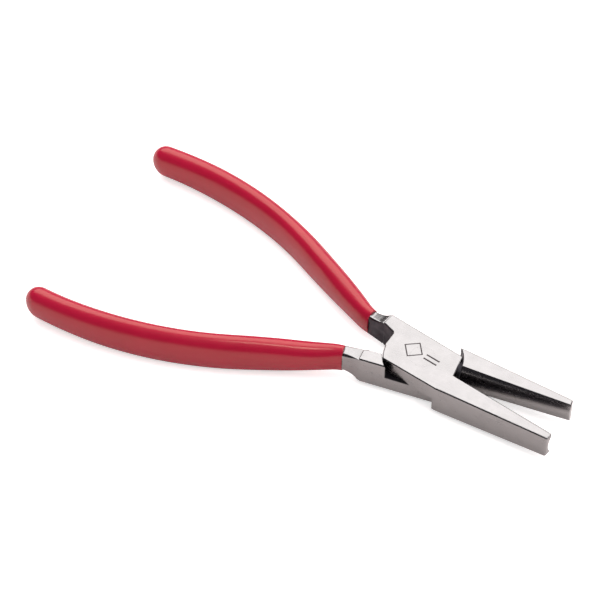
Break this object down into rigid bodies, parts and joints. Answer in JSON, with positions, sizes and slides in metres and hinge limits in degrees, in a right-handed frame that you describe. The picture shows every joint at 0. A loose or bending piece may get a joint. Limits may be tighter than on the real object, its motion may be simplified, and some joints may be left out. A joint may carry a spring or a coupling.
{
  "type": "crimping pliers",
  "caption": "Jewellery-making pliers with a hollow jaw and a half-round jaw on a riveted lap joint, and dipped vinyl grips; they squeeze and curl metal.",
  "frame": {"origin": "on the pivot axis, at the lower face of the joint", "axes": "+X to the jaw tips, half way between the levers; +Z along the pivot, up out of the face whose cheek belongs to the hollow-jaw lever"},
  "size_m": [0.1607, 0.0784, 0.0129],
  "materials": {
    "forged_steel": "ground and polished",
    "rivet_steel": "ground flush",
    "dipped_vinyl": "glossy dip"
  },
  "bodies": {
    "hollow_side": {"hollow_jaw_lever": "forged_steel", "pivot_rivet": "rivet_steel", "hollow_lever_grip": "dipped_vinyl"},
    "round_side": {"round_jaw_lever": "forged_steel", "round_lever_grip": "dipped_vinyl"}
  },
  "joints": [
    {"name": "pivot", "type": "hinge", "parent": "hollow_side", "child": "round_side", "pos_m": [0, 0, 0], "axis": [0, 0, 1], "range_deg": [-16, 23]}
  ]
}
